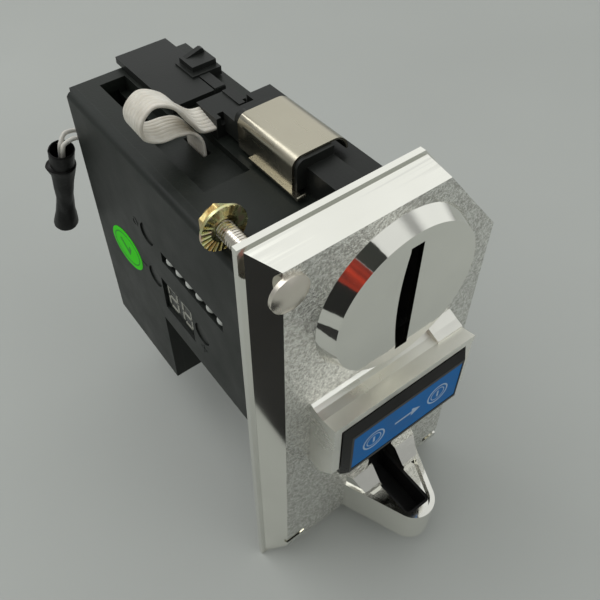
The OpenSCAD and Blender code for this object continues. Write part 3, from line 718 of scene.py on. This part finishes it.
def bar(half_wide, half_high):
    """Outline of a bar round its middle."""
    return [(-half_wide, -half_high), (half_wide, -half_high), (half_wide, half_high),
            (-half_wide, half_high)]


def add_label_marks():
    """Plain signs on the push frame's label: a coin, an arrow, and a second coin."""
    low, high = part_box("button_label")
    middle_z = (low.z + high.z) / 2
    u, v, lift = Vector((1, 0, 0)), Vector((0, 0, 1)), Vector((0, -0.03, 0)) * MM
    face = low.y - 0.005 * MM
    left = low.x / MM
    mesh = bmesh.new()

    def spot(x):
        return Vector(((left + x) * MM, face, middle_z))

    coins, r = (6.2, 26.2), 3.3
    for x in coins:
        flat_ring(mesh, spot(x), u, v, r, r - 0.45, lift)
        flat_ring(mesh, spot(x), u, v, r - 1.1, r - 1.35, lift)
    arrow = [(0, -0.35), (5.2, -0.35), (5.2, -1.5), (8, 0), (5.2, 1.5), (5.2, 0.35), (0, 0.35)]
    flat_shape(mesh, spot(12.6), u, v, arrow, lift)
    for x in coins:
        flat_shape(mesh, spot(x), u, v, bar(0.3, 1.1), lift)
    new_piece("label_signs", mesh, "label_print", "reject_push", smooth=False)


def add_sticker_marks():
    """A darker ring and a tick on the green sticker."""
    low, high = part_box("qc_sticker")
    middle = Vector((low.x - 0.01 * MM, (low.y + high.y) / 2, (low.z + high.z) / 2))
    turn = math.radians(-16)   # the oval sticker leans
    u = Vector((0, math.cos(turn), math.sin(turn)))
    v = Vector((0, -math.sin(turn), math.cos(turn)))
    lift = Vector((-0.03, 0, 0)) * MM
    mesh = bmesh.new()
    rows, steps = [], 72
    outer, inner = (7.6, 5.1), (7.25, 4.75)   # half length and half height of the ring's edges
    for (a, b), up in ((outer, 0), (outer, 1), (inner, 1), (inner, 0)):
        rows.append([middle + lift * up + (u * a * math.cos(2 * math.pi * k / steps)
                                           + v * b * math.sin(2 * math.pi * k / steps)) * MM
                     for k in range(steps)])
    skin(mesh, rows, closed=True)
    tick = [(-2.8, 0.3), (-1.9, 1.1), (-0.7, -0.6), (2.4, 2.9), (3.2, 2.1), (-0.6, -2.3)]
    flat_shape(mesh, middle, u, v, tick, lift)
    new_piece("sticker_signs", mesh, "sticker_print", smooth=False)


def add_moulded_marks():
    """Plain raised signs on the side cover: a ring, a bar and a cross beside the three keys."""
    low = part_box("side_cover")[0]
    u, v, lift = Vector((0, 1, 0)), Vector((0, 0, 1)), Vector((-0.12, 0, 0)) * MM
    mesh = bmesh.new()

    def spot(y, z):
        place = at(0, y, z)
        place.x = low.x + 0.01 * MM
        return place

    size, line = 1.3, 0.2
    flat_ring(mesh, spot(60.6, -38.6), u, v, size, 0.95, lift, steps=32)
    flat_shape(mesh, spot(60.6, -54), u, v, bar(size, line), lift)
    flat_shape(mesh, spot(32.2, -60.6), u, v, bar(size, line), lift)
    flat_shape(mesh, spot(32.2, -60.6), u, v, bar(line, size), lift)
    new_piece("cover_signs", mesh, "cover_black", smooth=False)


# ---------------------------------------------------------------- floor, cards and light


def add_card(name, corners, finish, hidden=True):
    """A flat card. A hidden one shows only in what is glossy."""
    mesh = bpy.data.meshes.new(name)
    mesh.from_pydata(corners, [], [(0, 1, 2, 3)])
    mesh.materials.append(finish)
    made = bpy.data.objects.new(name, mesh)
    scene.collection.objects.link(made)
    if hidden:
        made.visible_camera = False
        made.visible_shadow = False
        made.visible_diffuse = False


def card_finish(name, colour, blotch=0.06):
    """Matt card, in even clouds or, with a large blotch, in strong ones."""
    s = Shader(name)
    cloud = s.noise(6 if blotch < 0.1 else 16, 4)
    base = s.mix(s.ramp(cloud, 0.3, 0.7), [c * (1 - blotch) for c in colour], colour)
    return s.finish(base, 0.8, s.bump(s.noise(900, 2), 0.01 * MM))


def add_floor():
    size, z = 3.0, FLOOR_Z - 0.1 * MM
    add_card("floor", [(-size, -size, z), (size, -size, z), (size, size, z), (-size, size, z)],
             card_finish("floor_card", (0.425, 0.44, 0.42)), hidden=False)


def add_cards():
    """Dark and red cards to the left and overhead that only the plating sees."""
    black = card_finish("black_card", (0.012, 0.012, 0.011), blotch=0.7)
    red = card_finish("red_card", (0.75, 0.05, 0.015), blotch=0.85)
    grey = card_finish("grey_card", (0.09, 0.095, 0.09))

    def level_card(name, x0, x1, y0, y1, above_floor, finish):
        z = FLOOR_Z + above_floor * MM
        corners = [at(x, y, 0) for x, y in ((x0, y0), (x1, y0), (x1, y1), (x0, y1))]
        add_card(name, [(corner.x, corner.y, z) for corner in corners], finish)

    def standing_card(name, x, y0, y1, z0, z1, finish):
        corners = [at(x, y, z) for y, z in ((y0, z0), (y1, z0), (y1, z1), (y0, z1))]
        add_card(name, corners, finish)

    level_card("left_card", -150, -12, -160, -19, 1, black)
    standing_card("far_black", -280, -270, -60, -95, 105, black)
    standing_card("far_red", -280, -330, -110, 105, 380, red)
    level_card("top_grey", -300, -75, -300, -110, 541, grey)


# Bright patches of the studio: the way each lies, the cosines of the angles from its middle at
# which it begins and is full, and its strength.
BRIGHT = [((0.47, 0.64, 0.61), 0.72, 0.97, 0.62), ((0.42, -0.75, 0.55), 0.89, 0.96, 0.62),
          ((-0.5, 0.2, 0.85), 0.80, 0.97, 0.9), ((0.1, -0.4, 0.91), 0.90, 0.98, 0.4),
          ((0.9, -0.1, 0.42), 0.86, 0.97, 0.5)]
ROOM_LIGHT, ROOM_COLOUR = 0.36, (0.98, 1.0, 0.985, 1)


def add_world():
    """Soft studio: a grey room with wide bright patches behind, overhead, in front and right."""
    world = bpy.data.worlds.new("studio")
    world.use_nodes = True
    tree = world.node_tree
    back = tree.nodes["Background"]
    where = tree.nodes.new("ShaderNodeTexCoord").outputs["Generated"]
    total = None
    for direction, edge, full, power in BRIGHT:
        dot = tree.nodes.new("ShaderNodeVectorMath")
        dot.operation = "DOT_PRODUCT"
        dot.inputs[1].default_value = Vector(direction).normalized()
        tree.links.new(where, dot.inputs[0])
        soft = tree.nodes.new("ShaderNodeMapRange")
        soft.interpolation_type = "SMOOTHSTEP"
        soft.inputs["From Min"].default_value = edge
        soft.inputs["From Max"].default_value = full
        soft.inputs["To Max"].default_value = power
        tree.links.new(dot.outputs["Value"], soft.inputs["Value"])
        if total is None:
            total = soft.outputs[0]
        else:
            both = tree.nodes.new("ShaderNodeMath")
            tree.links.new(total, both.inputs[0])
            tree.links.new(soft.outputs[0], both.inputs[1])
            total = both.outputs[0]
    room = tree.nodes.new("ShaderNodeMath")
    room.inputs[1].default_value = ROOM_LIGHT
    tree.links.new(total, room.inputs[0])
    tree.links.new(room.outputs[0], back.inputs[1])
    back.inputs[0].default_value = ROOM_COLOUR
    scene.world = world


add_camera()
add_floor()
add_cards()
add_world()
scene.view_settings.view_transform = "Standard"
add_key_light()
add_leads(add_sleeve(), add_plug())
add_ribbon()
add_nut()
add_thread()
add_springs()
add_label_marks()
add_sticker_marks()
add_moulded_marks()
dress_cad_nodes()
